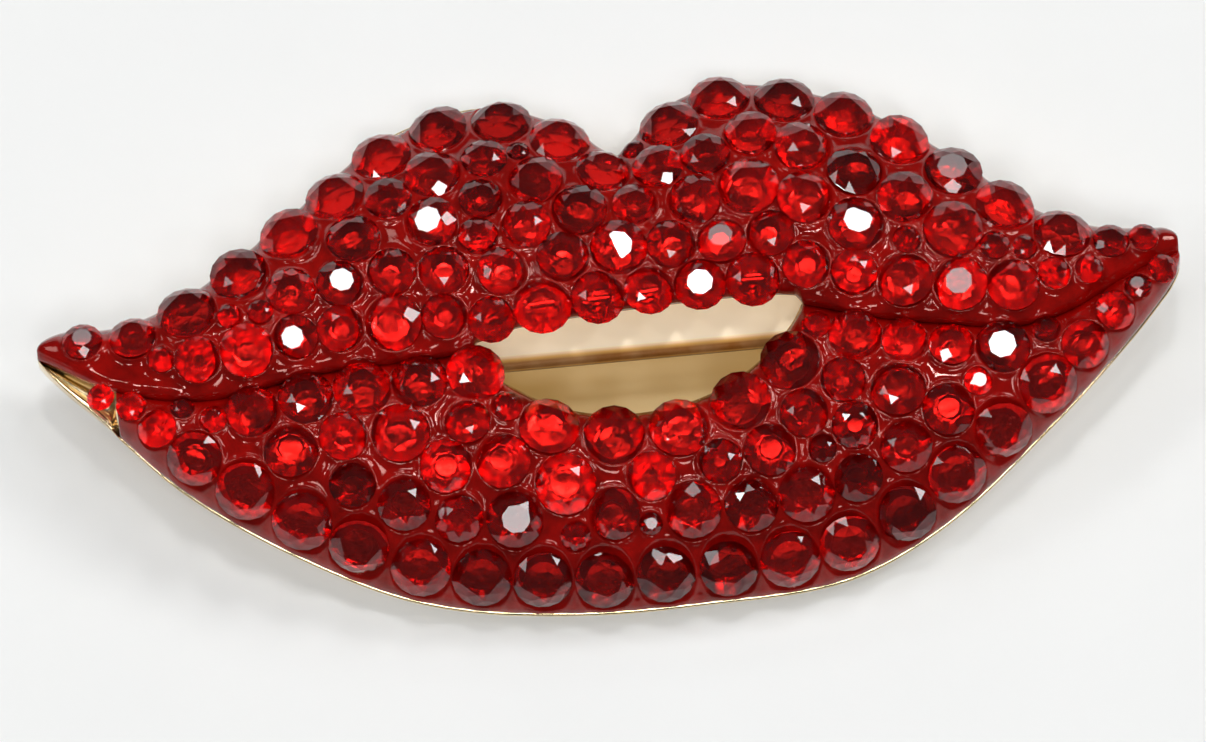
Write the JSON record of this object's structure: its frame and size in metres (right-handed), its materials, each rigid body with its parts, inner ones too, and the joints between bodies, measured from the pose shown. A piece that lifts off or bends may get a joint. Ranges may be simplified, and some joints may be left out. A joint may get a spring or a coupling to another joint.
{
  "type": "brooch",
  "caption": "Costume brooch in the shape of a pair of lips: red stones and red enamel in a gold-plated casting, with a hinged pin and a turning safety catch behind.",
  "frame": {"origin": "middle of the brooch's plan, on the surface that it lies on with its front up", "axes": "+X along the mouth from the hinge end of the pin to its catch end, +Y from the lower lip to the upper lip, +Z out of the front"},
  "size_m": [0.057, 0.0268, 0.0073],
  "materials": {
    "gold_plate": "bright thin gold plate over a die casting",
    "red_enamel": "glossy translucent deep red enamel",
    "red_stone": "faceted red glass with a foiled back",
    "pin_wire": "polished spring steel wire with a gold flash",
    "solder": "dull soft solder"
  },
  "bodies": {
    "brooch": {"catch_housing": "gold_plate", "hinge_bracket": "gold_plate", "hinge_rivet": "gold_plate", "left_lobe_stone_01": "red_stone", "left_lobe_stone_02": "red_stone", "left_lobe_stone_03": "red_stone", "left_lobe_stone_04": "red_stone", "left_lobe_stone_05": "red_stone", "left_lobe_stone_06": "red_stone", "left_lobe_stone_07": "red_stone", "left_lobe_stone_08": "red_stone", "left_lobe_stone_09": "red_stone", "left_solder": "solder", "lips_casting": "gold_plate", "lower_edge_stone_01": "red_stone", "lower_edge_stone_02": "red_stone", "lower_edge_stone_03": "red_stone", "lower_edge_stone_04": "red_stone", "lower_edge_stone_05": "red_stone", "lower_edge_stone_06": "red_stone", "lower_edge_stone_07": "red_stone", "lower_edge_stone_08": "red_stone", "lower_edge_stone_09": "red_stone", "lower_edge_stone_10": "red_stone", "lower_edge_stone_11": "red_stone", "lower_edge_stone_12": "red_stone", "lower_edge_stone_13": "red_stone", "lower_edge_stone_14": "red_stone", "lower_edge_stone_15": "red_stone", "lower_edge_stone_16": "red_stone", "lower_edge_stone_17": "red_stone", "lower_edge_stone_18": "red_stone", "lower_edge_stone_19": "red_stone", "lower_edge_stone_20": "red_stone", "lower_enamel": "red_enamel", "mouth_stone_01": "red_stone", "mouth_stone_02": "red_stone", "mouth_stone_03": "red_stone", "mouth_stone_04": "red_stone", "mouth_stone_05": "red_stone", "pin_bar": "gold_plate", "right_lobe_stone_01": "red_stone", "right_lobe_stone_02": "red_stone", "right_lobe_stone_03": "red_stone", "right_lobe_stone_04": "red_stone", "right_lobe_stone_05": "red_stone", "right_lobe_stone_06": "red_stone", "right_lobe_stone_07": "red_stone", "right_lobe_stone_08": "red_stone", "right_lobe_stone_09": "red_stone", "right_solder": "solder", "upper_enamel": "red_enamel"},
    "stem": {"pin_stem": "pin_wire"},
    "catch": {"catch_rotor": "gold_plate"}
  },
  "joints": [
    {"name": "stem_swing", "type": "hinge", "parent": "brooch", "child": "stem", "pos_m": [-0.0112, 0.00123, 0.0014], "axis": [0, 1, 0], "range_deg": [0, 85]},
    {"name": "catch_turn", "type": "hinge", "parent": "brooch", "child": "catch", "pos_m": [0.0134, 0.00123, 0.0014], "axis": [1, 0, 0], "range_deg": [0, 110]}
  ]
}
